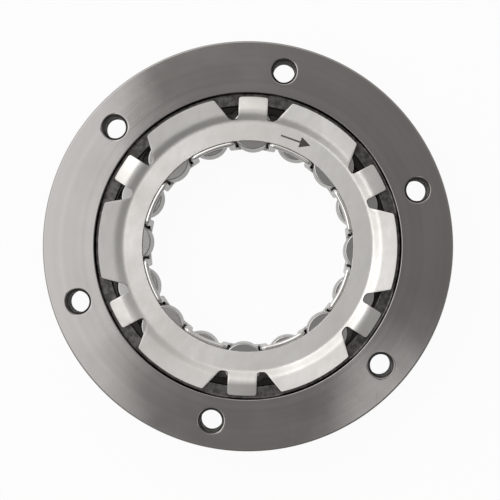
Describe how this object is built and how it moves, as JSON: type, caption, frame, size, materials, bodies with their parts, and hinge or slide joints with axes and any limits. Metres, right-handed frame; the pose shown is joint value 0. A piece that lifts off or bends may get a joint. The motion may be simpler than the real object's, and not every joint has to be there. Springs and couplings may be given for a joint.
{
  "type": "one-way starter clutch",
  "caption": "Round one-way clutch that joins a starter gear to an engine rotor: flanged ring with a cam bore, spring-loaded roller cage and a stamped cover plate.",
  "frame": {"origin": "on the clutch's axis, at the rear face of the ring", "axes": "+Z along the axis, out of the cover plate's side; +Y through the middle of one tab"},
  "size_m": [0.13, 0.13, 0.024],
  "materials": {
    "ring_steel": "ground satin steel, slightly brown-grey",
    "plate_steel": "tumbled bright sheet steel, semi-matt",
    "cage_steel": "smooth bright strip steel",
    "roller_steel": "ground and polished bearing steel",
    "snap_steel": "dark phosphated spring steel",
    "spring_steel": "bright spring strip"
  },
  "bodies": {
    "ring": {"outer_ring": "ring_steel", "snap_ring": "snap_steel", "spring_1": "spring_steel", "spring_2": "spring_steel", "spring_3": "spring_steel"},
    "cage": {"cage": "cage_steel", "front_plate": "plate_steel", "rear_plate": "plate_steel"},
    "roller_01": {"roller_01": "roller_steel"},
    "roller_02": {"roller_02": "roller_steel"},
    "roller_03": {"roller_03": "roller_steel"},
    "roller_04": {"roller_04": "roller_steel"},
    "roller_05": {"roller_05": "roller_steel"},
    "roller_06": {"roller_06": "roller_steel"},
    "roller_07": {"roller_07": "roller_steel"},
    "roller_08": {"roller_08": "roller_steel"},
    "roller_09": {"roller_09": "roller_steel"},
    "roller_10": {"roller_10": "roller_steel"},
    "roller_11": {"roller_11": "roller_steel"},
    "roller_12": {"roller_12": "roller_steel"},
    "roller_13": {"roller_13": "roller_steel"},
    "roller_14": {"roller_14": "roller_steel"},
    "roller_15": {"roller_15": "roller_steel"},
    "roller_16": {"roller_16": "roller_steel"}
  },
  "joints": [
    {"name": "cage_turn", "type": "hinge", "parent": "ring", "child": "cage", "pos_m": [0, 0, 0.0125], "axis": [0, 0, 1], "range_deg": [0, 3], "stiffness_Nm_per_rad": 1.5, "deforming": ["spring_1", "spring_2", "spring_3"]},
    {"name": "roller_01_spin", "type": "hinge", "parent": "cage", "child": "roller_01", "pos_m": [0, 0.0374, 0.01265], "axis": [0, 0, 1], "continuous": true},
    {"name": "roller_02_spin", "type": "hinge", "parent": "cage", "child": "roller_02", "pos_m": [-0.01431, 0.03455, 0.01165], "axis": [0, 0, 1], "continuous": true},
    {"name": "roller_03_spin", "type": "hinge", "parent": "cage", "child": "roller_03", "pos_m": [-0.02645, 0.02645, 0.01265], "axis": [0, 0, 1], "continuous": true},
    {"name": "roller_04_spin", "type": "hinge", "parent": "cage", "child": "roller_04", "pos_m": [-0.03455, 0.01431, 0.01165], "axis": [0, 0, 1], "continuous": true},
    {"name": "roller_05_spin", "type": "hinge", "parent": "cage", "child": "roller_05", "pos_m": [-0.0374, 0, 0.01265], "axis": [0, 0, 1], "continuous": true},
    {"name": "roller_06_spin", "type": "hinge", "parent": "cage", "child": "roller_06", "pos_m": [-0.03455, -0.01431, 0.01165], "axis": [0, 0, 1], "continuous": true},
    {"name": "roller_07_spin", "type": "hinge", "parent": "cage", "child": "roller_07", "pos_m": [-0.02645, -0.02645, 0.01265], "axis": [0, 0, 1], "continuous": true},
    {"name": "roller_08_spin", "type": "hinge", "parent": "cage", "child": "roller_08", "pos_m": [-0.01431, -0.03455, 0.01165], "axis": [0, 0, 1], "continuous": true},
    {"name": "roller_09_spin", "type": "hinge", "parent": "cage", "child": "roller_09", "pos_m": [0, -0.0374, 0.01265], "axis": [0, 0, 1], "continuous": true},
    {"name": "roller_10_spin", "type": "hinge", "parent": "cage", "child": "roller_10", "pos_m": [0.01431, -0.03455, 0.01165], "axis": [0, 0, 1], "continuous": true},
    {"name": "roller_11_spin", "type": "hinge", "parent": "cage", "child": "roller_11", "pos_m": [0.02645, -0.02645, 0.01265], "axis": [0, 0, 1], "continuous": true},
    {"name": "roller_12_spin", "type": "hinge", "parent": "cage", "child": "roller_12", "pos_m": [0.03455, -0.01431, 0.01165], "axis": [0, 0, 1], "continuous": true},
    {"name": "roller_13_spin", "type": "hinge", "parent": "cage", "child": "roller_13", "pos_m": [0.0374, 0, 0.01265], "axis": [0, 0, 1], "continuous": true},
    {"name": "roller_14_spin", "type": "hinge", "parent": "cage", "child": "roller_14", "pos_m": [0.03455, 0.01431, 0.01165], "axis": [0, 0, 1], "continuous": true},
    {"name": "roller_15_spin", "type": "hinge", "parent": "cage", "child": "roller_15", "pos_m": [0.02645, 0.02645, 0.01265], "axis": [0, 0, 1], "continuous": true},
    {"name": "roller_16_spin", "type": "hinge", "parent": "cage", "child": "roller_16", "pos_m": [0.01431, 0.03455, 0.01165], "axis": [0, 0, 1], "continuous": true}
  ]
}
